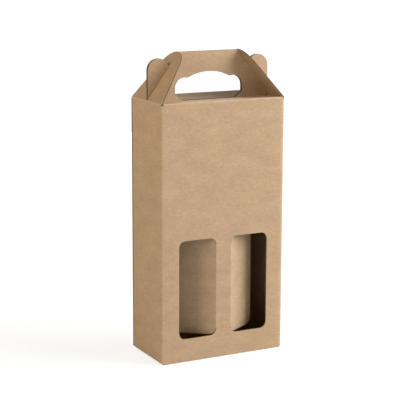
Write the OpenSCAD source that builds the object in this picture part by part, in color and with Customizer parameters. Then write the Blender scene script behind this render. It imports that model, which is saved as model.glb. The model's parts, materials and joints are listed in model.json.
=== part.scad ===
// Carrying box for two bottles side by side, folded from one sheet of fine corrugated kraft board.
// Millimetres, +Z up, +X to the right of the windowed front, which faces -Y.
// The origin is at the middle of the footprint, on the surface the box stands on.

/* [Box] */
// Outer width across both bottles
box_w = 172; // [164:1:190]
// Outer depth from front to back
box_d = 88; // [82:1:100]
// Height of the walls up to the top folds
box_h = 330; // [300:1:360]
// Thickness of the corrugated board
board = 1.5; // [1.2:0.1:1.8]
// Inner radius of every fold
fold_in_r = 0.3; // [0.2:0.05:0.5]
// Clearance between a flap and the board beside it
fit_gap = 0.3; // [0.25:0.05:0.4]
// Width of the glue lap inside the back
lap_w = 28; // [20:1:36]
// Set-back of the glue lap's two ends from the ends of the walls
lap_end = 9; // [5:1:20]

/* [Bottom] */
// How far each large bottom flap reaches past the middle on its own half
seam_reach = 12; // [8:1:18]
// Length of the two small bottom flaps, in from the sides
side_flap_len = 46; // [30:1:60]
// How much each small bottom flap narrows at either edge
side_flap_taper = 14; // [8:1:20]
// Set-back of the large bottom flaps' ends from the sides
bottom_inset = 2.4; // [2.2:0.1:4]

/* [Windows] */
// Width of each window
window_w = 52.4; // [44:0.1:56]
// Height of each window
window_h = 126.8; // [100:0.2:150]
// Radius of the window corners
window_r = 8.5; // [6:0.5:12]
// Height of the windows' lower edge above the base
window_sill = 30.5; // [22:0.5:50]
// Width of the post between the two window creases
post_w = 20.6; // [18:0.2:26]
// How far the left window flap is pushed in from closed
left_flap_angle = 37; // [10:1:60]
// How far the right window flap is pushed in from closed
right_flap_angle = 32; // [10:1:60]

/* [Shoulders and handle] */
// Fall of the two shoulders towards the middle, in degrees
shoulder_slope = 4.2; // [2:0.2:8]
// Height of the handle above the top folds
handle_h = 57.7; // [54:0.1:66]
// Gap between the two layers of the handle
handle_gap = 1.5; // [1:0.1:2.5]
// Set-back of the ears' outer edges from the sides
ear_inset = 1.4; // [1:0.1:3]
// Radius of the ears' round tops
ear_r = 14.5; // [12:0.1:16]
// Height of the ears' tops above the top folds
ear_top = 50.7; // [46:0.1:51]
// Height of the ears' lower corners above the top folds
ear_foot = 2; // [2:0.1:4]
// Height of the notch between an ear and the handle above the top folds
notch_h = 42; // [39:0.5:43]

/* [Hand hole] */
// Width of the hand hole at its round ends
hole_w = 94.8; // [84:0.2:98]
// Height of the hand hole's arch above the top folds
hole_top = 32.2; // [30:0.2:38]
// Radius of the hand hole's round ends
hole_end_r = 13.2; // [11:0.2:15]
// Height of the middle of the round ends above the top folds
hole_end_z = 12.6; // [10:0.2:14]
// Distance of each small cusp in the hand hole's upper edge from the middle
cusp_x = 30.2; // [27:0.2:32]
// Width of the hand hole along the inner crease
hole_crease_w = 75; // [66:0.5:80]
// Height above the top folds at which the hand hole's lower corners begin
hole_corner_z = 4.5; // [3:0.5:7]

/* [End flaps] */
// Lean of the end flaps from upright, inwards
end_lean = 36.2; // [34:0.1:38]
// Set-back of the end flaps' lower corners from the front and the back
flap_inset = 0.5; // [0.3:0.1:3]
// Radius of the end flaps' round tops
flap_top_r = 26; // [22:0.5:28]
// Inward slant of the end flaps' straight edges, in degrees
flap_taper = 19; // [17:0.5:21]
// Distance of the ear slit's lower end from the crease
slit_start = 1.6; // [1.4:0.1:1.8]
// Clearance between the handle and either side of the ear slit
slit_side_gap = 0.6; // [0.5:0.1:1]
// Clearance between the ears and the slit's upper end as a flap swings
slit_end_gap = 1.1; // [0.8:0.1:2]

/* [Hidden] */

// Reach of a cut past the board it goes through
past = 1;

kraft = [0.79, 0.67, 0.52];
kraft_side = [0.72, 0.58, 0.43];

half_w = box_w / 2;
half_d = box_d / 2;
fold_r = fold_in_r + board;
inner_w = box_w - 2 * board;
inner_d = box_d - 2 * board;

// Creases that the flaps hang on, in the middle of the board
hinge_x = half_w - board / 2;
hinge_z = box_h - board / 2;
window_hinge_x = post_w / 2;
window_hinge_y = -(half_d - board / 2);
side_top = box_h - board - fit_gap;

// Section of one shoulder and handle layer, at the front
handle_top = box_h + handle_h;
handle_thick = handle_gap + 2 * board;
outer_fold = [-half_d + fold_r, box_h - fold_r];
inner_fold_y = -(handle_thick / 2 + fold_in_r);
fold_offset = fold_r + fold_in_r;
shoulder_len = (inner_fold_y - outer_fold[0] - fold_offset * sin(shoulder_slope)) / cos(shoulder_slope);
inner_fold_z = outer_fold[1] - shoulder_len * sin(shoulder_slope) + fold_offset * cos(shoulder_slope);
crease_low = inner_fold_z - fold_r - past;

// Outline of the shoulders and the handle, seen from the front
shoulder_half = hinge_x - board / 2 * tan(end_lean) - (board / 2 + fit_gap) / cos(end_lean);
handle_top_half = shoulder_half - handle_h * tan(end_lean);
notch_x = shoulder_half - notch_h * tan(end_lean);
ear_edge = half_w - ear_inset;
ear_x = ear_edge - ear_r;
ear_z = box_h + ear_top - ear_r;

// Hand hole: its arch meets the round ends in a small cusp
hole_end_x = hole_w / 2 - hole_end_r;
cusp_z = hole_end_z + sqrt(pow(hole_end_r, 2) - pow(hole_end_x - cusp_x, 2));
arch_rise = hole_top - cusp_z;
arch_r = (pow(cusp_x, 2) + pow(arch_rise, 2)) / (2 * arch_rise);

// End flap: straight edges that run into a round top, and a slit that the ears go through
flap_base_w = box_d - 2 * flap_inset;
flap_round_s = (flap_base_w / 2 - flap_top_r / cos(flap_taper)) / tan(flap_taper);
ear_reach = norm([hinge_x - ear_x, ear_z - hinge_z]) + ear_r;
slit_w = handle_thick + 2 * slit_side_gap;
slit_end = ear_reach + slit_end_gap;

// Rectangle with round corners, its lower left corner at the origin
module rounded_rect(w, h, r) {
    translate([r, 0]) square([w - 2 * r, h]);
    translate([0, r]) square([w, h - 2 * r]);
    for (x = [r, w - r], y = [r, h - r])
        translate([x, y]) circle(r = r, $fn = 32);
}

// Section of a fold in the board, about the middle of its curve, between two directions
module fold(from, to) {
    reach = 2 * fold_r;
    intersection() {
        difference() {
            circle(r = fold_r, $fn = 32);
            circle(r = fold_in_r, $fn = 32);
        }
        polygon([[0, 0], for (t = [from, (from + to) / 2, to]) reach * [cos(t), sin(t)]]);
    }
}

// Puts a section drawn in (Y, Z) along X, over the given width about the middle
module along_x(width) {
    rotate([90, 0, 90]) linear_extrude(width, center = true) children();
}

// Puts an outline drawn in (X, Z) along Y, over the given depth about the middle
module along_y(depth) {
    rotate([90, 0, 0]) linear_extrude(depth, center = true) children();
}

// Plan of the four walls, open at the back left corner, where the sheet's two ends meet
module tube_plan() {
    difference() {
        translate([-half_w, -half_d]) rounded_rect(box_w, box_d, fold_r);
        translate([-inner_w / 2, -inner_d / 2]) rounded_rect(inner_w, inner_d, fold_in_r);
        translate([-half_w - past, half_d - board - fold_r])
            square([past + 2 * fold_r, past + board + fold_r]);
    }
}

// Plan of the joint: the back's cut end lies over a lap folded in from the left side, with glue between
module joint_plan() {
    glue = board / 2;
    translate([-half_w, half_d - board]) square([3 * fold_r, board]);
    translate([-half_w + fold_r, half_d - board - fold_r]) fold(90, 180);
    translate([-half_w + fold_r - glue, half_d - board - glue]) square(glue);
}

// Front wall's window openings, with room beside each crease for the flap to turn
module window_openings() {
    for (side = [0, 1]) mirror([side, 0]) {
        translate([window_hinge_x, window_sill]) rounded_rect(window_w, window_h, window_r);
        translate([window_hinge_x - board / 2 - fit_gap, window_sill + window_r - fit_gap])
            square([board / 2 + fit_gap + window_r, window_h - 2 * window_r + 2 * fit_gap]);
    }
}

// Walls, with the glue lap inside the back
module walls() {
    lap_low = 2 * board + fold_r;
    difference() {
        linear_extrude(box_h) tube_plan();
        // Upper edges: the front and back run into their folds, the sides stop under the end flaps
        translate([-shoulder_half, -half_d - past, box_h - fold_r])
            cube([2 * shoulder_half, box_d + 2 * past, fold_r + past]);
        translate([-half_w - past, -half_d - past, side_top])
            cube([box_w + 2 * past, box_d + 2 * past, box_h + past - side_top]);
        // Lower edges: the side flaps lie inside the large ones, so the sides start a board higher
        translate([-half_w - past, -half_d - past, -past])
            cube([box_w + 2 * past, box_d + 2 * past, fold_r + past]);
        translate([-half_w - past, -half_d + fold_r, -past])
            cube([box_w + 2 * past, box_d - 2 * fold_r, board + fold_r + past]);
        translate([0, -half_d, 0]) along_y(4 * board) window_openings();
    }
    translate([0, 0, fold_r]) linear_extrude(side_top - fold_r) joint_plan();
    // Glue lap
    translate([-half_w + fold_r, half_d - board, 0]) rotate([90, 0, 0]) linear_extrude(board)
        polygon([[0, lap_low], [lap_w, lap_low + lap_end], [lap_w, side_top - lap_end], [0, side_top]]);
}

// Plan of the two large bottom flaps, which meet in a stepped seam
module large_bottom_flaps() {
    reach_x = half_w - bottom_inset;
    reach_y = half_d - fold_r;
    difference() {
        translate([-reach_x, -reach_y]) square([2 * reach_x, 2 * reach_y]);
        translate([-reach_x - past, seam_reach]) square([reach_x + past + fit_gap / 2, fit_gap]);
        translate([-fit_gap / 2, -seam_reach - fit_gap]) square([fit_gap, 2 * (seam_reach + fit_gap)]);
        translate([-fit_gap / 2, -seam_reach - fit_gap]) square([reach_x + past, fit_gap]);
    }
}

// Plan of the upper layer: the small flaps from the sides, and the large flaps' hooked middle
module small_bottom_flaps() {
    root = half_w - fold_r;
    wide = half_d - fold_r;
    tip = root - side_flap_len;
    for (side = [0, 1]) mirror([side, 0])
        polygon([[tip, -wide + side_flap_taper], [root, -wide], [root, wide], [tip, wide - side_flap_taper]]);
    translate([-tip - past, -seam_reach - fit_gap - board])
        square([2 * (tip + past), 2 * (seam_reach + fit_gap + board)]);
}

// Glued bottom
module bottom() {
    linear_extrude(board) large_bottom_flaps();
    translate([0, 0, board]) linear_extrude(board) small_bottom_flaps();
    for (side = [0, 1]) mirror([0, side, 0])
        along_x(box_w - 2 * bottom_inset) translate([-half_d + fold_r, fold_r]) fold(180, 270);
    for (side = [0, 1]) mirror([side, 0, 0])
        along_y(box_d - 2 * fold_r) translate([half_w - fold_r, board + fold_r]) fold(270, 360);
}

// Section of the front shoulder and its handle layer, from the wall's top fold up
module top_section() {
    translate(outer_fold) fold(90 - shoulder_slope, 180);
    translate(outer_fold) rotate(-shoulder_slope) translate([0, fold_in_r]) square([shoulder_len, board]);
    translate([inner_fold_y, inner_fold_z]) fold(-90 - shoulder_slope, 0);
    translate([-handle_thick / 2, inner_fold_z]) square([board, handle_top - inner_fold_z]);
}

// Outline of the shoulders, the handle and its ears, seen from the front
module top_outline() {
    foot_z = box_h + ear_foot;
    foot_x = shoulder_half - ear_foot * tan(end_lean);
    polygon([
        [-shoulder_half, crease_low], [shoulder_half, crease_low], [shoulder_half, foot_z],
        [foot_x, foot_z], [handle_top_half, handle_top], [-handle_top_half, handle_top],
        [-foot_x, foot_z], [-shoulder_half, foot_z]
    ]);
    for (side = [0, 1]) mirror([side, 0]) {
        translate([ear_x, ear_z]) circle(r = ear_r, $fn = 64);
        translate([ear_x - ear_r, foot_z]) square([2 * ear_r, ear_z - foot_z]);
        translate([notch_x - past, foot_z]) square([ear_x - notch_x + past, box_h + notch_h - foot_z]);
    }
}

// Hand hole: an arch between two round ends, with slanted lower corners down to the crease
module hand_hole_outline() {
    corner_z = inner_fold_z - fold_in_r - board / 2;
    intersection() {
        translate([0, box_h + hole_top - arch_r]) circle(r = arch_r, $fn = 128);
        translate([-cusp_x, box_h]) square([2 * cusp_x, handle_h]);
    }
    for (side = [-1, 1])
        translate([side * hole_end_x, box_h + hole_end_z]) circle(r = hole_end_r, $fn = 64);
    polygon([
        [-hole_crease_w / 2, crease_low], [hole_crease_w / 2, crease_low],
        [hole_crease_w / 2, corner_z], [hole_w / 2, box_h + hole_corner_z], [hole_w / 2, box_h + hole_end_z],
        [-hole_w / 2, box_h + hole_end_z], [-hole_w / 2, box_h + hole_corner_z], [-hole_crease_w / 2, corner_z]
    ]);
}

// Shoulders and double handle
module top_panels() {
    difference() {
        for (side = [0, 1]) mirror([0, side, 0]) intersection() {
            along_x(box_w) top_section();
            along_y(box_d) top_outline();
        }
        along_y(handle_thick + 4 * fold_in_r) hand_hole_outline();
    }
}

module carton() {
    color(kraft) union() {
        walls();
        bottom();
        top_panels();
    }
}

// Outline of an end flap: across the box, and up from its crease
module end_flap_outline() {
    side_x = flap_top_r * cos(flap_taper);
    side_s = flap_round_s + flap_top_r * sin(flap_taper);
    difference() {
        union() {
            polygon([[-flap_base_w / 2, 0], [flap_base_w / 2, 0], [side_x, side_s], [-side_x, side_s]]);
            translate([0, flap_round_s]) circle(r = flap_top_r, $fn = 96);
        }
        translate([-slit_w / 2, slit_start]) square([slit_w, slit_end - slit_start]);
    }
}

// End flap of the right side, leaning against the handle's end, its lower edge rounded at the crease
module end_flap() {
    translate([hinge_x, 0, hinge_z]) rotate([0, -end_lean, 0]) {
        along_x(board) end_flap_outline();
        rotate([90, 0, 0]) cylinder(d = board, h = flap_base_w, center = true, $fn = 32);
    }
}

module left_end_flap() { color(kraft_side) mirror([1, 0, 0]) end_flap(); }
module right_end_flap() { color(kraft_side) end_flap(); }

// Outline of a window flap: out from its crease, and up
module window_flap_outline() {
    crease_h = window_h - 2 * window_r;
    turn_room = board / 2 + fit_gap;
    difference() {
        translate([fit_gap, window_sill + fit_gap])
            rounded_rect(window_w - 2 * fit_gap, window_h - 2 * fit_gap, window_r - fit_gap);
        translate([-past, window_sill]) square([past + turn_room, window_h]);
    }
    translate([0, window_sill + window_r]) square([window_r, crease_h]);
}

// Window flap of the right window, pushed in by an angle
module window_flap(angle) {
    translate([window_hinge_x, window_hinge_y, 0]) rotate([0, 0, angle]) {
        along_y(board) window_flap_outline();
        translate([0, 0, window_sill + window_r])
            cylinder(d = board, h = window_h - 2 * window_r, $fn = 32);
    }
}

module left_window_flap() { color(kraft_side) mirror([1, 0, 0]) window_flap(left_flap_angle); }
module right_window_flap() { color(kraft_side) window_flap(right_flap_angle); }

carton();
left_end_flap();
right_end_flap();
left_window_flap();
right_window_flap();
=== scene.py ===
# Carrying box for two bottles: one die-cut and creased sheet of kraft board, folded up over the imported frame.
# Sizes are in millimetres, as in the part's source, and meshes are written in metres.
import json
import math

import bmesh
import bpy
import numpy as np
from mathutils import Matrix, Vector
from mathutils.geometry import delaunay_2d_cdt


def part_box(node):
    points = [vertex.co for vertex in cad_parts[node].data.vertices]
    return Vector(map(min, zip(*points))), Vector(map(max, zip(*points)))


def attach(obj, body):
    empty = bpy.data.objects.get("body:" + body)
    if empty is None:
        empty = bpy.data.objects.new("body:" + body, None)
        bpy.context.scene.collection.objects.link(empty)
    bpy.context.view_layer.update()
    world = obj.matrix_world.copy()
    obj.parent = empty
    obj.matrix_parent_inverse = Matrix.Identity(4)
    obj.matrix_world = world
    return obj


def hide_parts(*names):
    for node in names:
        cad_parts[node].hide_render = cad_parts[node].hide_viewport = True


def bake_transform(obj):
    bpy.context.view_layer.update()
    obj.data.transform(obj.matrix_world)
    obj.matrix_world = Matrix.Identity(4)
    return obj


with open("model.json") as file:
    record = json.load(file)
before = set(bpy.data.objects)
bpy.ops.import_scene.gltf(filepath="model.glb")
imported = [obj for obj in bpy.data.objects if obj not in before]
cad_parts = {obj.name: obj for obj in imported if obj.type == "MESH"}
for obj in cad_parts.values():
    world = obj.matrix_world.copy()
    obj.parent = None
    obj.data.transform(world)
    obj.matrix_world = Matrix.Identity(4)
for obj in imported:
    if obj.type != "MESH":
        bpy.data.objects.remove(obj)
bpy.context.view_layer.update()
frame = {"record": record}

MM = 0.001
JOINTS = {joint["name"]: joint for joint in frame["record"]["behaviour"]["joints"]}


def in_mm(values):
    return [value / MM for value in values]


# Overall sizes and hinges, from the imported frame
HALF_W, HALF_D, HANDLE_TOP = in_mm(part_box("carton")[1])
END_HINGE_X, _, END_HINGE_Z = in_mm(JOINTS["right_end_flap_fold"]["pos_m"])
WINDOW_HINGE_X, WINDOW_HINGE_Y, _ = in_mm(JOINTS["right_window_flap_fold"]["pos_m"])
LEFT_PUSH = -JOINTS["left_window_flap_fold"]["range_deg"][0]
RIGHT_PUSH = -JOINTS["right_window_flap_fold"]["range_deg"][0]

# Board and folds
BOARD = 1.5
HALF_T = BOARD / 2
FOLD_IN_R = 0.3
FIT_GAP = 0.3
FOLD_R = FOLD_IN_R + BOARD
MID_R = FOLD_IN_R + HALF_T
QUARTER = MID_R * math.pi / 2
BOX_H = END_HINGE_Z + HALF_T
WALL_TOP = BOX_H - FOLD_R
HALF_FRONT = HALF_W - FOLD_R
HALF_SIDE = HALF_D - FOLD_R

# Glue lap and bottom
LAP_W = 28
LAP_END = 9
SEAM_REACH = 12
SIDE_FLAP_LEN = 46
SIDE_FLAP_TAPER = 14
BOTTOM_INSET = 2.4

# Windows
WINDOW_W = 52.4
WINDOW_H = 126.8
WINDOW_R = 8.5
WINDOW_SILL = 30.5

# Shoulders and handle
SHOULDER_SLOPE = 4.2
HANDLE_GAP = 1.5
EAR_INSET = 1.4
EAR_R = 14.5
EAR_TOP = 50.7
EAR_FOOT = 2
NOTCH_H = 42
HOLE_W = 94.8
HOLE_TOP = 32.2
HOLE_END_R = 13.2
HOLE_END_Z = 12.6
CUSP_X = 30.2
HOLE_CREASE_W = 75
HOLE_CORNER_Z = 4.5

# End flaps
END_LEAN = 36.2
FLAP_INSET = 0.5
FLAP_TOP_R = 26
FLAP_TAPER = math.radians(19)
SLIT_START = 1.6
SLIT_SIDE_GAP = 0.6
SLIT_END_GAP = 1.1
CUT_W = 0.5

# Unevenness of the folded sheet: how far the walls bow inwards, and the dents at the feet of the ear slits
FRONT_BOW = 0.5
SIDE_BOW = 0.4
BOW_FADE = 60
DENT_DEPTH = 0.35
DENT_LENGTH = 8
DENT_HALF = 1.6
DENT_START = 2.4
DENT_SPREAD = 0.45

# How far either side of a hinge its crease is bent, and how much of the wall a flap's piece takes with it
CREASE = 1.2
STRIP = 3.0

# Mesh steps: across the flat board, and across a fold
GRID = 5.0
FOLD_STEPS = 6
EASE = 0.7

# Two places on the sheet closer than this are the same
NEAR = 0.01


class Path:
    """A line of straight runs and round bends in a plane, by the distance s along it."""

    def __init__(self, s, point, heading, moves):
        self.rows = []
        x, y = point
        angle = math.radians(heading)
        for length, turn in moves:
            bend = math.radians(turn) / length
            self.rows.append((s, x, y, angle, bend))
            if turn:
                x += (math.sin(angle + bend * length) - math.sin(angle)) / bend
                y -= (math.cos(angle + bend * length) - math.cos(angle)) / bend
            else:
                x += length * math.cos(angle)
                y += length * math.sin(angle)
            s += length
            angle += bend * length
        self.rows = np.array(self.rows)

    def at(self, s):
        row = np.clip(np.searchsorted(self.rows[:, 0], s, side="right") - 1, 0, len(self.rows) - 1)
        start, x, y, angle, bend = self.rows[row].T
        run = s - start
        curved = np.abs(bend) > 1e-9
        safe = np.where(curved, bend, 1.0)
        end = angle + bend * run
        dx = np.where(curved, (np.sin(end) - np.sin(angle)) / safe, run * np.cos(angle))
        dy = np.where(curved, -(np.cos(end) - np.cos(angle)) / safe, run * np.sin(angle))
        return x + dx, y + dy, end


# Where the walls lie along the flat sheet: u is 0 at the middle of the front and runs to the right
RIGHT_U = HALF_FRONT + QUARTER + HALF_SIDE
BACK_U = RIGHT_U + HALF_SIDE + QUARTER + HALF_FRONT
LEFT_U = -RIGHT_U
LEFT_RUN = 2 * HALF_SIDE - BOARD
LAP_FOLD_U = LEFT_U + HALF_SIDE - LEFT_RUN
LAP_U = LAP_FOLD_U - QUARTER
SHEET_START = LAP_U - LAP_W
SHEET_END = BACK_U + HALF_W

PLAN = Path(
    SHEET_START,
    (-HALF_FRONT + LAP_W, HALF_D - BOARD - HALF_T),
    180,
    [
        (LAP_W, 0), (QUARTER, 90), (LEFT_RUN, 0), (QUARTER, 90), (2 * HALF_FRONT, 0),
        (QUARTER, 90), (2 * HALF_SIDE, 0), (QUARTER, 90), (HALF_FRONT + HALF_W, 0),
    ],
)

# Section of the front and the back: v is the height on the walls, and runs on round the folds
HANDLE_THICK = HANDLE_GAP + 2 * BOARD
SLOPE = math.radians(SHOULDER_SLOPE)
INNER_FOLD_Y = HANDLE_THICK / 2 + FOLD_IN_R
SHOULDER_LEN = (HALF_SIDE - INNER_FOLD_Y - 2 * MID_R * math.sin(SLOPE)) / math.cos(SLOPE)
INNER_FOLD_Z = WALL_TOP - SHOULDER_LEN * math.sin(SLOPE) + 2 * MID_R * math.cos(SLOPE)
TOP_ARC = MID_R * (math.pi / 2 + SLOPE)
SHOULDER_V = WALL_TOP + TOP_ARC
INNER_V = SHOULDER_V + SHOULDER_LEN
HANDLE_V = INNER_V + TOP_ARC
LONG_FLAP = HALF_SIDE + SEAM_REACH
SHORT_FLAP = HALF_SIDE - SEAM_REACH - FIT_GAP

MAIN = Path(
    FOLD_R - QUARTER - LONG_FLAP,
    (MID_R + LONG_FLAP, HALF_T),
    180,
    [
        (LONG_FLAP, 0), (QUARTER, -90), (WALL_TOP - FOLD_R, 0), (TOP_ARC, -90 - SHOULDER_SLOPE),
        (SHOULDER_LEN, 0), (TOP_ARC, 90 + SHOULDER_SLOPE), (HANDLE_TOP - INNER_FOLD_Z, 0),
    ],
)

# Section of the sides, whose small bottom flaps lie on the large ones
SIDE_FOOT = BOARD + FOLD_R
SIDE = Path(
    SIDE_FOOT - QUARTER - SIDE_FLAP_LEN,
    (MID_R + SIDE_FLAP_LEN, BOARD + HALF_T),
    180,
    [(SIDE_FLAP_LEN, 0), (QUARTER, -90), (BOX_H, 0)],
)


def handle_v(height):
    """Distance along the sheet of a height on the handle."""
    return HANDLE_V + height - INNER_FOLD_Z


def smooth(x):
    x = np.clip(x, 0, 1)
    return x * x * (3 - 2 * x)


def arc(cx, cy, r, start, end, steps=10):
    """Points of an arc between two angles in degrees, both ends included."""
    angles = np.radians(np.linspace(start, end, steps + 1))
    return [(cx + r * math.cos(a), cy + r * math.sin(a)) for a in angles]


def mirrored(points):
    return [(-x, y) for x, y in reversed(points)]


def moved(points, across, up=0.0):
    return [(x + across, y + up) for x, y in points]


# Outline of the shoulders, handle and ears on the flat sheet, about the middle of its wall
LEAN = math.radians(END_LEAN)
SHOULDER_HALF = END_HINGE_X - HALF_T * math.tan(LEAN) - (HALF_T + FIT_GAP) / math.cos(LEAN)
EAR_X = HALF_W - EAR_INSET - EAR_R
EAR_Z = BOX_H + EAR_TOP - EAR_R


def lean_x(height):
    """Where the handle's slanted edge is, at a height above the walls."""
    return SHOULDER_HALF - height * math.tan(LEAN)


def top_outline():
    notch_angle = 180 - math.degrees(math.asin((BOX_H + NOTCH_H - EAR_Z) / EAR_R))
    foot = handle_v(BOX_H + EAR_FOOT)
    ear = arc(EAR_X, handle_v(EAR_Z), EAR_R, 0, notch_angle, 24)
    right = [(SHOULDER_HALF, WALL_TOP), (SHOULDER_HALF, foot), (EAR_X + EAR_R, foot)] + ear
    right.append((lean_x(NOTCH_H), handle_v(BOX_H + NOTCH_H)))
    right.append((lean_x(HANDLE_TOP - BOX_H), handle_v(HANDLE_TOP)))
    return right + mirrored(right)


def hand_hole():
    end_x = HOLE_W / 2 - HOLE_END_R
    cusp_angle = math.degrees(math.acos((CUSP_X - end_x) / HOLE_END_R))
    cusp_z = HOLE_END_Z + HOLE_END_R * math.sin(math.radians(cusp_angle))
    rise = HOLE_TOP - cusp_z
    arch_r = (CUSP_X**2 + rise**2) / (2 * rise)
    half_arch = math.degrees(math.asin(CUSP_X / arch_r))
    corner_v = INNER_V + TOP_ARC / 2
    right = [
        (HOLE_CREASE_W / 2, INNER_V - FOLD_IN_R), (HOLE_CREASE_W / 2, corner_v),
        (HOLE_W / 2, handle_v(BOX_H + HOLE_CORNER_Z)),
    ]
    right += arc(end_x, handle_v(BOX_H + HOLE_END_Z), HOLE_END_R, 0, cusp_angle, 16)
    right += arc(0, handle_v(BOX_H + HOLE_TOP - arch_r), arch_r, 90 - half_arch, 90, 16)[1:]
    return right + mirrored(right)[1:]


def window(strip):
    """Outline of the right window, its crease side moved back by the strip that the flap's piece takes."""
    left, right = WINDOW_HINGE_X, WINDOW_HINGE_X + WINDOW_W
    low, high = WINDOW_SILL, WINDOW_SILL + WINDOW_H
    r = WINDOW_R
    lower = arc(left + r, low + r, r, 180, 270) + arc(right - r, low + r, r, 270, 360)
    upper = arc(right - r, high - r, r, 0, 90) + arc(left + r, high - r, r, 90, 180)
    return [(left - strip, low + r)] + lower + upper + [(left - strip, high - r)]


def large_flap_outline():
    """A large bottom flap, which reaches past the middle on its left half."""
    reach = HALF_W - BOTTOM_INSET
    fold_v = FOLD_R - QUARTER
    return [
        (-reach, fold_v - LONG_FLAP), (-FIT_GAP / 2, fold_v - LONG_FLAP), (-FIT_GAP / 2, fold_v - SHORT_FLAP),
        (reach, fold_v - SHORT_FLAP), (reach, FOLD_R), (-reach, FOLD_R),
    ]


def small_flap_outline():
    fold_v = SIDE_FOOT - QUARTER
    narrow = HALF_SIDE - SIDE_FLAP_TAPER
    return [
        (-narrow, fold_v - SIDE_FLAP_LEN), (narrow, fold_v - SIDE_FLAP_LEN), (HALF_SIDE, fold_v),
        (HALF_SIDE, SIDE_FOOT), (-HALF_SIDE, SIDE_FOOT), (-HALF_SIDE, fold_v),
    ]


def wall_relief(u, v):
    """Bow of the walls and dents in them, along the sheet's normal: never outwards."""
    main = np.minimum(np.abs(u), np.abs(u - BACK_U))
    side = np.minimum(np.abs(u - RIGHT_U), np.abs(u - LEFT_U))
    below_top = smooth((BOX_H - v) / BOW_FADE)
    above_windows = smooth((v - WINDOW_SILL - WINDOW_H) / BOW_FADE) * below_top
    whole = smooth(v / BOW_FADE) * below_top
    bow = -FRONT_BOW * above_windows * smooth((HALF_FRONT - main) / 45)
    bow = bow - SIDE_BOW * whole * smooth((HALF_SIDE - side) / 25)
    return bow + slit_dents(u, v)


def slit_dents(u, v):
    """Two shallow creases that run down either side of each ear slit's foot, where the folded flap pulls."""
    depth = 0
    for middle in (LEFT_U, RIGHT_U):
        down = np.clip(END_HINGE_Z - v, 0, None)
        off = np.abs(u - middle)
        fade = smooth(1 - down / DENT_LENGTH) * smooth(down / 1.5)
        across = np.abs(off - DENT_START - DENT_SPREAD * down)
        depth = depth - DENT_DEPTH * fade * smooth(1 - across / DENT_HALF)
    return depth


def place_sheet(u, v, t):
    """Where a point of the flat sheet goes when the box is folded; t is 1 outside and -1 inside."""
    # Above and below the walls a panel stays flat to its ends, which may lie past the corner folds
    past_wall = (v > WALL_TOP + NEAR) | (v < FOLD_R - NEAR)
    middle = np.where(u > RIGHT_U, BACK_U, 0.0)
    on_wall = np.clip(u, middle - HALF_FRONT, middle + HALF_FRONT)
    side = (np.abs(u - RIGHT_U) <= HALF_SIDE + NEAR) | (np.abs(u - LEFT_U) <= HALF_SIDE + NEAR)
    held = np.where(past_wall & ~side, on_wall, u)
    x, y, heading = PLAN.at(held)
    x = x + (u - held) * np.cos(heading)
    y = y + (u - held) * np.sin(heading)
    nx, ny = np.sin(heading), -np.cos(heading)
    main_in, main_z, main_turn = MAIN.at(v)
    side_in, side_z, side_turn = SIDE.at(v)
    inwards = np.where(side, side_in, main_in)
    z = np.where(side, side_z, main_z)
    normal = np.where(side, side_turn, main_turn) + math.pi / 2
    lift = t * HALF_T + wall_relief(u, v)
    out = -inwards - lift * np.cos(normal)
    return np.stack([x + out * nx, y + out * ny, z + lift * np.sin(normal)], axis=-1)


# Flat triangulation
def rows_across(start, end, low, high):
    """Lines across a fold from low to high, each running from start to end, and one just past either side."""
    steps = list(np.linspace(low, high, FOLD_STEPS + 1)) + [low - EASE, high + EASE]
    count = max(2, round(abs(end - start) / GRID))
    return [[(x, level) for x in np.linspace(start, end, count + 1)] for level in steps]


def columns_across(start, end, low, high):
    return [[(x, y) for y, x in line] for line in rows_across(start, end, low, high)]


def segments(loops, lines):
    ends = []
    for loop in loops:
        ends += list(zip(loop, loop[1:] + loop[:1]))
    for line in lines:
        ends += list(zip(line, line[1:]))
    return np.array(ends, float)


def spots(loops, lines):
    """Points of an even grid that keep clear of every line."""
    ends = segments(loops, lines)
    low, high = ends.reshape(-1, 2).min(0), ends.reshape(-1, 2).max(0)
    across = np.linspace(low[0], high[0], max(2, round((high[0] - low[0]) / GRID)) + 1)
    up = np.linspace(low[1], high[1], max(2, round((high[1] - low[1]) / GRID)) + 1)
    points = np.stack(np.meshgrid(across, up), axis=-1).reshape(-1, 2)
    near = np.zeros(len(points), bool)
    for a, b in ends:
        run = b - a
        share = np.clip((points - a) @ run / max(run @ run, 1e-12), 0, 1)
        near |= np.hypot(*(points - a - share[:, None] * run).T) < 0.3 * GRID
    return points[~near]


def within(points, loop):
    inside = np.zeros(len(points), bool)
    px, py = points.T
    for (ax, ay), (bx, by) in zip(loop, loop[1:] + loop[:1]):
        crosses = (ay > py) != (by > py)
        if ay != by:
            inside ^= crosses & (px < ax + (py - ay) * (bx - ax) / (by - ay))
    return inside


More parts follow.
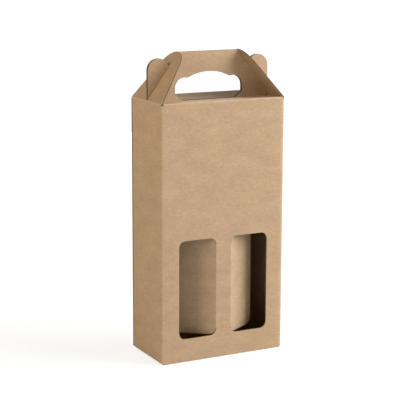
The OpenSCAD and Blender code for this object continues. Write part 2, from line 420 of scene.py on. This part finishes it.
def triangulate(panels, holes, lines):
    """Triangles of the flat sheet: what lies in a panel and in no hole, split along every line."""
    verts, edges = [], []
    for loop in panels + holes:
        first = len(verts)
        verts += loop
        edges += [(first + i, first + (i + 1) % len(loop)) for i in range(len(loop))]
    for line in lines:
        first = len(verts)
        verts += line
        edges += [(first + i, first + i + 1) for i in range(len(line) - 1)]
    verts += [tuple(p) for p in spots(panels + holes, lines)]
    made = delaunay_2d_cdt([Vector(p) for p in verts], edges, [], 0, 1e-4)
    points = np.array([tuple(p) for p in made[0]])
    faces = np.array(made[2])
    a, b, c = (points[faces[:, k]] for k in range(3))
    area = (b[:, 0] - a[:, 0]) * (c[:, 1] - a[:, 1]) - (c[:, 0] - a[:, 0]) * (b[:, 1] - a[:, 1])
    faces[area < 0] = faces[area < 0][:, ::-1]
    middle = (a + b + c) / 3
    keep = np.abs(area) > 1e-6
    keep &= np.any([within(middle, loop) for loop in panels], axis=0)
    for loop in holes:
        keep &= ~within(middle, loop)
    faces = faces[keep]
    used, faces = np.unique(faces, return_inverse=True)
    return points[used], faces.reshape(-1, 3)


def board(panels, holes, lines, place):
    """A closed sheet of board: both skins of a flat outline, and the cut edges between them."""
    points, faces = triangulate(panels, holes, lines)
    u, v = points.T
    n = len(points)
    skins = np.concatenate([place(u, v, np.full(n, t)) for t in (1.0, -1.0)])
    sheet = np.concatenate([np.stack([u * MM, v * MM, np.full(n, t)], axis=-1) for t in (1.0, -1.0)])
    directed = np.concatenate([faces[:, [0, 1]], faces[:, [1, 2]], faces[:, [2, 0]]])
    known = {tuple(e) for e in directed}
    rim = [(a, b) for a, b in known if (b, a) not in known]
    outer = [tuple(f) for f in faces]
    inner = [(c + n, b + n, a + n) for a, b, c in faces]
    cut = [(b, a, a + n, b + n) for a, b in sorted(rim)]
    kinds = [0] * len(outer) + [1] * len(inner) + [2] * len(cut)
    return skins, outer + inner + cut, kinds, sheet


def make_piece(name, parts):
    """One mesh object from several boards, with its sheet coordinates, sharp cut edges and materials."""
    verts, faces, kinds, sheet = [], [], [], []
    for skins, part_faces, part_kinds, part_sheet in parts:
        first = sum(len(block) for block in verts)
        verts.append(skins * MM)
        faces += [tuple(int(i) + first for i in face) for face in part_faces]
        kinds += part_kinds
        sheet.append(part_sheet)
    mesh = bpy.data.meshes.new(name)
    mesh.from_pydata(np.concatenate(verts).tolist(), [], faces)
    mesh.polygons.foreach_set("material_index", kinds)
    mesh.polygons.foreach_set("use_smooth", [True] * len(faces))
    sheet_attribute = mesh.attributes.new("sheet", "FLOAT_VECTOR", "POINT")
    sheet_attribute.data.foreach_set("vector", np.concatenate(sheet).astype(np.float32).ravel())
    mark_sharp(mesh)
    obj = bpy.data.objects.new(name, mesh)
    bpy.context.scene.collection.objects.link(obj)
    for material in (outer_kraft, inner_kraft, cut_board):
        mesh.materials.append(material)
    return obj


def mark_sharp(mesh):
    """Cut edges meet the skins sharply, and each other where the outline turns."""
    bm = bmesh.new()
    bm.from_mesh(mesh)
    for edge in bm.edges:
        if len(edge.link_faces) == 2:
            kinds = [face.material_index for face in edge.link_faces]
            turned = kinds[0] == 2 and edge.calc_face_angle(0) > math.radians(30)
            edge.smooth = kinds[0] == kinds[1] and not turned
    bm.to_mesh(mesh)
    bm.free()


# Materials
def node(tree, kind, inputs=None, **settings):
    """Adds a node; an input is given a number, a colour or another node's socket."""
    made = tree.nodes.new("ShaderNode" + kind)
    for key, value in settings.items():
        setattr(made, key, value)
    for key, value in (inputs or {}).items():
        if isinstance(value, bpy.types.NodeSocket):
            tree.links.new(value, made.inputs[key])
        else:
            made.inputs[key].default_value = value
    return made


def math_node(tree, operation, a, b=0.0, clamp=False):
    return node(tree, "Math", {0: a, 1: b}, operation=operation, use_clamp=clamp).outputs[0]


def noise(tree, place, scale, detail=3.0, roughness=0.55):
    inputs = {"Vector": place, "Scale": scale, "Detail": detail, "Roughness": roughness}
    return node(tree, "TexNoise", inputs).outputs["Fac"]


def ranged(tree, value, low, high, to_low, to_high):
    inputs = {"Value": value, "From Min": low, "From Max": high, "To Min": to_low, "To Max": to_high}
    return node(tree, "MapRange", inputs).outputs["Result"]


def sheet_place(tree):
    return node(tree, "Attribute", attribute_name="sheet").outputs["Vector"]


def stretched(tree, place, x, y, turn=0.0):
    """Sheet coordinates stretched for fibres that lie mostly one way."""
    inputs = {"Vector": place, "Scale": (x, y, 1.0), "Rotation": (0.0, 0.0, turn)}
    return node(tree, "Mapping", inputs).outputs["Vector"]


def new_material(name):
    material = bpy.data.materials.new(name)
    material.use_nodes = True
    tree = material.node_tree
    tree.nodes.clear()
    return material, tree


def finish_material(tree, colour, height, roughness, specular, bump_mm):
    bumped = node(tree, "Bump", {"Height": height, "Strength": 1.0, "Distance": bump_mm * MM})
    inputs = {"Base Color": colour, "Roughness": roughness, "Specular IOR Level": specular}
    inputs["Normal"] = bumped.outputs["Normal"]
    shader = node(tree, "BsdfPrincipled", inputs)
    node(tree, "OutputMaterial", {"Surface": shader.outputs[0]})


def product(tree, values):
    total = values[0]
    for value in values[1:]:
        total = math_node(tree, "MULTIPLY", total, value)
    return total


def swing(tree, value, span, amount):
    """A factor that goes as far below 1 as above it, as a value goes through its span."""
    return ranged(tree, value, *span, 1 - amount, 1 + amount)


def tinted(tree, colour, shade):
    return node(tree, "VectorMath", {0: colour, "Scale": shade}, operation="SCALE").outputs["Vector"]


def flute_phase(tree, across):
    return math_node(tree, "MULTIPLY", across, 2 * math.pi / FLUTE_PITCH)


def crease_wear_and_painted_light(tree, across, along):
    """1 on the lines where the sheet is folded, fading to 0 beside them; the mask for the folds' rubbed tint
    and their painted highlight and shade.
    """
    corner = HALF_FRONT + QUARTER / 2
    far_corner = RIGHT_U + HALF_SIDE + QUARTER / 2
    lines = [(across, line) for line in (-corner, corner, far_corner, LAP_U + QUARTER / 2)]
    lines += [(along, line) for line in (WALL_TOP + TOP_ARC / 2, FOLD_R - QUARTER / 2)]
    crease_wear_and_light = 0.0
    for value, line in lines:
        off = math_node(tree, "ABSOLUTE", math_node(tree, "SUBTRACT", value, line * MM))
        on_line = ranged(tree, off, 0.2 * CREASE_MARK_HALF * MM, CREASE_MARK_HALF * MM, 1.0, 0.0)
        crease_wear_and_light = math_node(tree, "MAXIMUM", on_line, crease_wear_and_light)
    return crease_wear_and_light


def kraft(name, colour, crease_wear_and_light_tone):
    """Kraft liner: cloudy pulp, streaks and fibres along the web, dark specks, faint flutes, and tinted fold
    lines: lighter outside for rubbed, stretched liner and a painted highlight, darker inside as painted shade.
    """
    material, tree = new_material(name)
    place = sheet_place(tree)
    across, along, _ = node(tree, "SeparateXYZ", {0: place}).outputs
    blotch = noise(tree, stretched(tree, place, *BLOTCHES), 1.0, 4.0)
    cloud = noise(tree, place, CLOUDS, 3.0)
    streak = noise(tree, stretched(tree, place, *STREAKS), 1.0, 3.0)
    fibre_up = noise(tree, stretched(tree, place, *UPRIGHT_FIBRES), 1.0, 2.0)
    fibre_across = noise(tree, stretched(tree, place, *LEVEL_FIBRES), 1.0, 2.0)
    fibres = math_node(tree, "ADD", fibre_up, fibre_across)
    speck = ranged(tree, noise(tree, place, SPECKS, 1.0), 0.70, 0.78, 0.0, 1.0)
    flute = math_node(tree, "SINE", flute_phase(tree, across))
    broken = ranged(tree, cloud, *NOISE_SPAN, 0.6, 1.0)
    broken_crease_wear_and_light = math_node(tree, "MULTIPLY", crease_wear_and_painted_light(tree, across, along), broken)
    shade = product(tree, [
        swing(tree, blotch, NOISE_SPAN, 0.07),
        swing(tree, cloud, NOISE_SPAN, 0.06),
        swing(tree, streak, NOISE_SPAN, 0.07),
        swing(tree, fibres, FIBRE_SPAN, 0.10),
        ranged(tree, speck, 0.0, 1.0, 1.0, SPECK_SHADE),
        swing(tree, flute, WAVE_SPAN, 0.008),
        # Fold lines: lighter outside for rubbed, stretched liner and a painted highlight, darker inside as
        # painted shade
        ranged(tree, broken_crease_wear_and_light, 0.0, 1.0, 1.0, crease_wear_and_light_tone),
    ])
    rough = ranged(tree, fibres, *FIBRE_SPAN, 0.68, 0.78)
    fibre_height = math_node(tree, "MULTIPLY", fibres, 0.5)
    flute_height = math_node(tree, "MULTIPLY", flute, 0.25)
    height = math_node(tree, "ADD", fibre_height, flute_height)
    finish_material(tree, tinted(tree, colour, shade), height, rough, 0.3, 0.05)
    return material


def cut_material(name, colour):
    """Cut edge: two liners with the fluted sheet winding between them; painted shade darkens the whole edge,
    most in the hollows between the flutes.
    """
    material, tree = new_material(name)
    place = sheet_place(tree)
    across, _, depth = node(tree, "SeparateXYZ", {0: place}).outputs
    wander = ranged(tree, noise(tree, place, 300.0, 2.0), *NOISE_SPAN, -0.5, 0.5)
    phase = math_node(tree, "ADD", flute_phase(tree, across), wander)
    wave = math_node(tree, "MULTIPLY", math_node(tree, "SINE", phase), 0.62)
    off_wave = math_node(tree, "ABSOLUTE", math_node(tree, "SUBTRACT", depth, wave))
    paper = ranged(tree, off_wave, 0.16, 0.34, 1.0, 0.0)
    liner = ranged(tree, math_node(tree, "ABSOLUTE", depth), 0.66, 0.78, 0.0, 1.0)
    solid = math_node(tree, "MAXIMUM", paper, liner)
    fibres = noise(tree, place, 2200.0, 2.0)
    # Painted shade: darkest in the hollows between the flutes, and the cut paper darkened too
    painted_edge_shade = ranged(tree, solid, 0.0, 1.0, HOLLOW_PAINTED_SHADE, CUT_EDGE_PAINTED_SHADE)
    shade = math_node(tree, "MULTIPLY", painted_edge_shade, swing(tree, fibres, NOISE_SPAN, 0.1))
    finish_material(tree, tinted(tree, colour, shade), solid, 0.88, 0.15, 0.12)
    return material


def linear(red, green, blue):
    """An sRGB colour of 0 to 255 as linear light."""
    parts = [value / 255 for value in (red, green, blue)]
    return tuple(p / 12.92 if p <= 0.04045 else ((p + 0.055) / 1.055) ** 2.4 for p in parts)


FLUTE_PITCH = 3.2 * MM
# Half width of the fold lines' tint: rubbed liner with painted highlight and painted shade
CREASE_MARK_HALF = 1.0

# Marks in the paper per metre across and along the web, with the turn of the fibres where it isn't 0
BLOTCHES = (30.0, 66.0)
CLOUDS = 260.0
STREAKS = (130.0, 640.0, 0.02)
UPRIGHT_FIBRES = (2600.0, 420.0, 0.08)
LEVEL_FIBRES = (460.0, 2300.0, 0.05)
SPECKS = 900.0

# Where most values of a noise, of two added noises and of a wave lie
NOISE_SPAN = (0.3, 0.7)
FIBRE_SPAN = (0.7, 1.3)
WAVE_SPAN = (-1.0, 1.0)

# How light a speck, a fold line and the cut board are, as shares of the paper's colour
SPECK_SHADE = 0.80
# Outer folds: rubbed, stretched liner and a painted highlight where the fold catches the light
OUTER_CREASE_WEAR_AND_HIGHLIGHT = 1.22
# Inner folds: painted shade
INNER_CREASE_PAINTED_SHADE = 0.8
# Cut board: painted shade, darkest in the flute hollows
HOLLOW_PAINTED_SHADE = 0.16
CUT_EDGE_PAINTED_SHADE = 0.5

KRAFT = linear(189, 161, 129)
# The inside skin is the same kraft made darker: painted shade over the box's inside and the undersides of its
# flaps
INSIDE_PAINTED_DARKER = linear(165, 138, 108)
outer_kraft = kraft("kraft_outside", KRAFT, OUTER_CREASE_WEAR_AND_HIGHLIGHT)
inner_kraft = kraft("kraft_inside", INSIDE_PAINTED_DARKER, INNER_CREASE_PAINTED_SHADE)
cut_board = cut_material("board_edge", KRAFT)


# Carton
def carton_sheet():
    """The whole folded sheet but for its four flaps: walls, glue lap, bottom, shoulders, handle and ears."""
    foot, top = FOLD_R, WALL_TOP
    seam = END_HINGE_Z - STRIP
    lap_low = 2 * BOARD + FOLD_R
    left_edge, right_edge, far_edge = LEFT_U + HALF_SIDE, RIGHT_U - HALF_SIDE, RIGHT_U + HALF_SIDE
    tube = [
        (LAP_U, lap_low), (LAP_FOLD_U, lap_low), (LAP_FOLD_U, SIDE_FOOT), (left_edge, SIDE_FOOT),
        (left_edge, foot), (right_edge, foot), (right_edge, SIDE_FOOT), (far_edge, SIDE_FOOT),
        (far_edge, foot), (SHEET_END, foot), (SHEET_END, top), (far_edge, top),
        (far_edge, seam), (right_edge, seam), (right_edge, top), (left_edge, top),
        (left_edge, seam), (LAP_FOLD_U, seam), (LAP_FOLD_U, top), (LAP_U, top),
    ]
    lap = [
        (LAP_U, lap_low), (LAP_U, BOX_H - BOARD - FIT_GAP),
        (SHEET_START, BOX_H - BOARD - FIT_GAP - LAP_END), (SHEET_START, lap_low + LAP_END),
    ]
    panels = [tube, lap]
    holes = [window(STRIP), mirrored(window(STRIP))]
    lines = []
    for middle in (0, BACK_U):
        panels += [moved(top_outline(), middle), moved(large_flap_outline(), middle)]
        holes.append(moved(hand_hole(), middle))
        for low, high in ((foot - QUARTER, foot), (top, SHOULDER_V), (INNER_V, HANDLE_V)):
            lines += rows_across(middle - HALF_FRONT, middle + HALF_FRONT, low, high)
    for middle in (LEFT_U, RIGHT_U):
        panels.append(moved(small_flap_outline(), middle))
        lines += rows_across(middle - HALF_SIDE, middle + HALF_SIDE, SIDE_FOOT - QUARTER, SIDE_FOOT)
    for corner in (LAP_U, left_edge, right_edge, far_edge):
        lines += columns_across(foot, top, corner, corner + QUARTER)
    return board(panels, holes, lines, place_sheet)


def hooked_middle(side):
    """Where the large bottom flaps overlap, on the inside."""
    tip = HALF_FRONT - SIDE_FLAP_LEN - FIT_GAP
    reach = SEAM_REACH + FIT_GAP + BOARD
    x0, x1 = sorted((side * FIT_GAP / 2, side * tip))
    loop = [(x0, -reach), (x1, -reach), (x1, reach), (x0, reach)]

    def place(x, y, t):
        return np.stack([x, -y, BOARD + HALF_T - t * HALF_T], axis=-1)

    return board([loop], [], [], place)


def turn(along, out, angle):
    """A point of the flat sheet, by its distances from a hinge along the sheet and out of it, bent inwards by
    an angle that builds up over the crease."""
    bend = math.radians(angle) * smooth((along + CREASE) / (2 * CREASE))
    return along * np.cos(bend) + out * np.sin(bend), out * np.cos(bend) - along * np.sin(bend)


def fold_on(obj, node_name):
    """Bakes a flap's piece, already bent across its crease, into its mesh and hides the flap's part of the
    imported frame.
    """
    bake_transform(obj)
    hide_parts(node_name)


# End flaps
def end_flap_outline():
    base = HALF_D - FLAP_INSET
    round_s = (base - FLAP_TOP_R / math.cos(FLAP_TAPER)) / math.tan(FLAP_TAPER)
    right = [(HALF_SIDE, -STRIP), (HALF_SIDE, -HALF_T), (base - HALF_T * math.tan(FLAP_TAPER), HALF_T)]
    right += arc(0, round_s, FLAP_TOP_R, math.degrees(FLAP_TAPER), 90, 20)
    return right + mirrored(right)[1:]


def slit_outline():
    """The ear's slit: as wide as the handle where the ear stands in it, and a plain cut beyond it."""
    off_x, off_z = END_HINGE_X - EAR_X, EAR_Z - END_HINGE_Z
    beside = off_z * math.sin(LEAN) - off_x * math.cos(LEAN)
    in_slit = off_x * math.sin(LEAN) + off_z * math.cos(LEAN) + math.sqrt(EAR_R**2 - beside**2)
    half, end = HANDLE_THICK / 2 + SLIT_SIDE_GAP, math.hypot(off_x, off_z) + EAR_R + SLIT_END_GAP
    right = [(half, SLIT_START), (half, in_slit), (CUT_W / 2, in_slit + SLIT_END_GAP), (CUT_W / 2, end)]
    return right + mirrored(right)


def end_flap(side, name):
    """An end flap, on the right for side 1 or the left for -1, with the strip of wall at its crease."""
    middle = side * RIGHT_U

    def place(u, v, t):
        along, out = turn(v - END_HINGE_Z, t * HALF_T + wall_relief(u, v), END_LEAN)
        return np.stack([side * (END_HINGE_X + out), side * (u - middle), END_HINGE_Z + along], axis=-1)

    panel = moved(end_flap_outline(), middle, END_HINGE_Z)
    slit = moved(slit_outline(), middle, END_HINGE_Z)
    lines = rows_across(middle - HALF_D, middle + HALF_D, END_HINGE_Z - CREASE, END_HINGE_Z + CREASE)
    obj = make_piece(name + "_sheet", [board([panel], [slit], lines, place)])
    fold_on(obj, name)


# Window flaps
def window_flap_outline():
    """The board cut out of the right window, a hair smaller than it, with the strip of post at its crease."""
    left, right = WINDOW_HINGE_X, WINDOW_HINGE_X + WINDOW_W - FIT_GAP
    low, high = WINDOW_SILL + FIT_GAP, WINDOW_SILL + WINDOW_H - FIT_GAP
    r = WINDOW_R - FIT_GAP
    crease_low, crease_high = WINDOW_SILL + WINDOW_R, WINDOW_SILL + WINDOW_H - WINDOW_R
    lower = arc(left + FIT_GAP + r, low + r, r, 180, 270) + arc(right - r, low + r, r, 270, 360)
    upper = arc(right - r, high - r, r, 0, 90) + arc(left + FIT_GAP + r, high - r, r, 90, 180)
    foot = [(left - STRIP, crease_low), (left, crease_low)]
    head = [(left, crease_high), (left - STRIP, crease_high)]
    return foot + lower + upper + head


def window_flap(side, name, angle):
    def place(u, v, t):
        along, out = turn(side * u - WINDOW_HINGE_X, t * HALF_T, angle)
        return np.stack([side * (WINDOW_HINGE_X + along), WINDOW_HINGE_Y - out, v], axis=-1)

    panel = window_flap_outline() if side > 0 else mirrored(window_flap_outline())
    hinge_u = side * WINDOW_HINGE_X
    lines = columns_across(WINDOW_SILL, WINDOW_SILL + WINDOW_H, hinge_u - CREASE, hinge_u + CREASE)
    obj = make_piece(name + "_sheet", [board([panel], [], lines, place)])
    fold_on(obj, name)


carton = make_piece("carton_sheet", [carton_sheet(), hooked_middle(1), hooked_middle(-1)])
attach(carton, "carton")
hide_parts("carton")
end_flap(1, "right_end_flap")
end_flap(-1, "left_end_flap")
window_flap(1, "right_window_flap", RIGHT_PUSH)
window_flap(-1, "left_window_flap", LEFT_PUSH)


# Camera
CAMERA_AT = (-786, -1497, 544)
CAMERA_YAW = 27.72
CAMERA_PITCH = 11.95
CAMERA_ROLL = 0.24
FOCAL_PX = 1347
FRAME_PX = 416


def make_camera():
    yaw, pitch, roll = (math.radians(a) for a in (CAMERA_YAW, CAMERA_PITCH, CAMERA_ROLL))
    forward = Vector((math.sin(yaw) * math.cos(pitch), math.cos(yaw) * math.cos(pitch), -math.sin(pitch)))
    right = Vector((math.cos(yaw), -math.sin(yaw), 0))
    up = right.cross(forward)
    turned_right = math.cos(roll) * right + math.sin(roll) * up
    turned_up = math.cos(roll) * up - math.sin(roll) * right
    data = bpy.data.cameras.new("camera")
    data.sensor_width = 36
    data.lens = data.sensor_width * FOCAL_PX / FRAME_PX
    data.clip_start = 0.05
    data.clip_end = 50
    camera = bpy.data.objects.new("camera", data)
    axes = Matrix((turned_right, turned_up, -forward)).transposed().to_4x4()
    camera.matrix_world = Matrix.Translation(Vector(CAMERA_AT) * MM) @ axes
    bpy.context.scene.collection.objects.link(camera)
    bpy.context.scene.camera = camera


# Light
def area_light(name, azimuth, elevation, distance, size, power, colour):
    """A square soft light aimed at the middle of the box; azimuth 0 is in front, and 90 on its right."""
    data = bpy.data.lights.new(name, "AREA")
    data.shape = "SQUARE"
    data.size = size
    data.energy = power
    data.color = colour
    light = bpy.data.objects.new(name, data)
    light.visible_camera = False
    turn_z, rise = math.radians(azimuth), math.radians(elevation)
    out = Vector((math.sin(turn_z) * math.cos(rise), -math.cos(turn_z) * math.cos(rise), math.sin(rise)))
    light.location = out * distance + Vector((0, 0, 0.2))
    light.rotation_euler = out.to_track_quat("Z", "Y").to_euler()
    bpy.context.scene.collection.objects.link(light)


def seen_or(tree, unseen, seen):
    """One shader for light that falls on the object, and another for what is seen, also in gloss."""
    path = node(tree, "LightPath").outputs
    rays = math_node(tree, "ADD", path["Is Camera Ray"], path["Is Glossy Ray"])
    rays = math_node(tree, "ADD", rays, path["Is Transmission Ray"], clamp=True)
    return node(tree, "MixShader", {0: rays, 1: unseen.outputs[0], 2: seen.outputs[0]})


def make_world(colour, strength):
    world = bpy.data.worlds.new("studio")
    world.use_nodes = True
    tree = world.node_tree
    tree.nodes.clear()
    glow = node(tree, "Background", {"Color": (*colour, 1), "Strength": strength})
    white = node(tree, "Background", {"Color": (1, 1, 1, 1), "Strength": 1.0})
    node(tree, "OutputWorld", {"Surface": seen_or(tree, glow, white).outputs[0]})
    bpy.context.scene.world = world


def make_floor():
    """White floor that shows as the white background with the box's faint shadow, and clear from below."""
    material, tree = new_material("studio_floor")
    bounce = node(tree, "BsdfDiffuse", {"Color": (0.8, 0.8, 0.8, 1)})
    lit = node(tree, "BsdfDiffuse", {"Color": (0.4, 0.4, 0.4, 1)})
    face = node(tree, "NewGeometry").outputs
    away = node(tree, "VectorMath", {0: face["Position"]}, operation="LENGTH").outputs["Value"]
    strength = ranged(tree, away, 0.4, 2.5, 0.75, 1.0)
    glow = node(tree, "Emission", {"Color": (1, 1, 1, 1), "Strength": strength})
    shown = node(tree, "AddShader", {0: lit.outputs[0], 1: glow.outputs[0]})
    clear = node(tree, "BsdfTransparent")
    top = seen_or(tree, bounce, shown)
    sided = node(tree, "MixShader", {0: face["Backfacing"], 1: top.outputs[0], 2: clear.outputs[0]})
    node(tree, "OutputMaterial", {"Surface": sided.outputs[0]})
    mesh = bpy.data.meshes.new("studio_floor")
    far = 12
    mesh.from_pydata([(-far, -far, 0), (far, -far, 0), (far, far, 0), (-far, far, 0)], [], [(0, 1, 2, 3)])
    mesh.materials.append(material)
    floor = bpy.data.objects.new("studio_floor", mesh)
    bpy.context.scene.collection.objects.link(floor)


make_camera()
make_floor()
make_world((1.0, 0.98, 0.95), 0.05)
area_light("key", azimuth=60, elevation=30, distance=1.8, size=1.5, power=45, colour=(1.0, 0.99, 0.98))
area_light("front", azimuth=5, elevation=20, distance=1.8, size=1.2, power=3, colour=(1.0, 0.99, 0.98))
area_light("left", azimuth=-78, elevation=24, distance=1.6, size=0.7, power=12, colour=(1.0, 0.86, 0.68))
area_light("rear", azimuth=170, elevation=3, distance=1.8, size=1.0, power=20, colour=(1.0, 0.98, 0.95))
bpy.context.scene.view_settings.view_transform = "Standard"
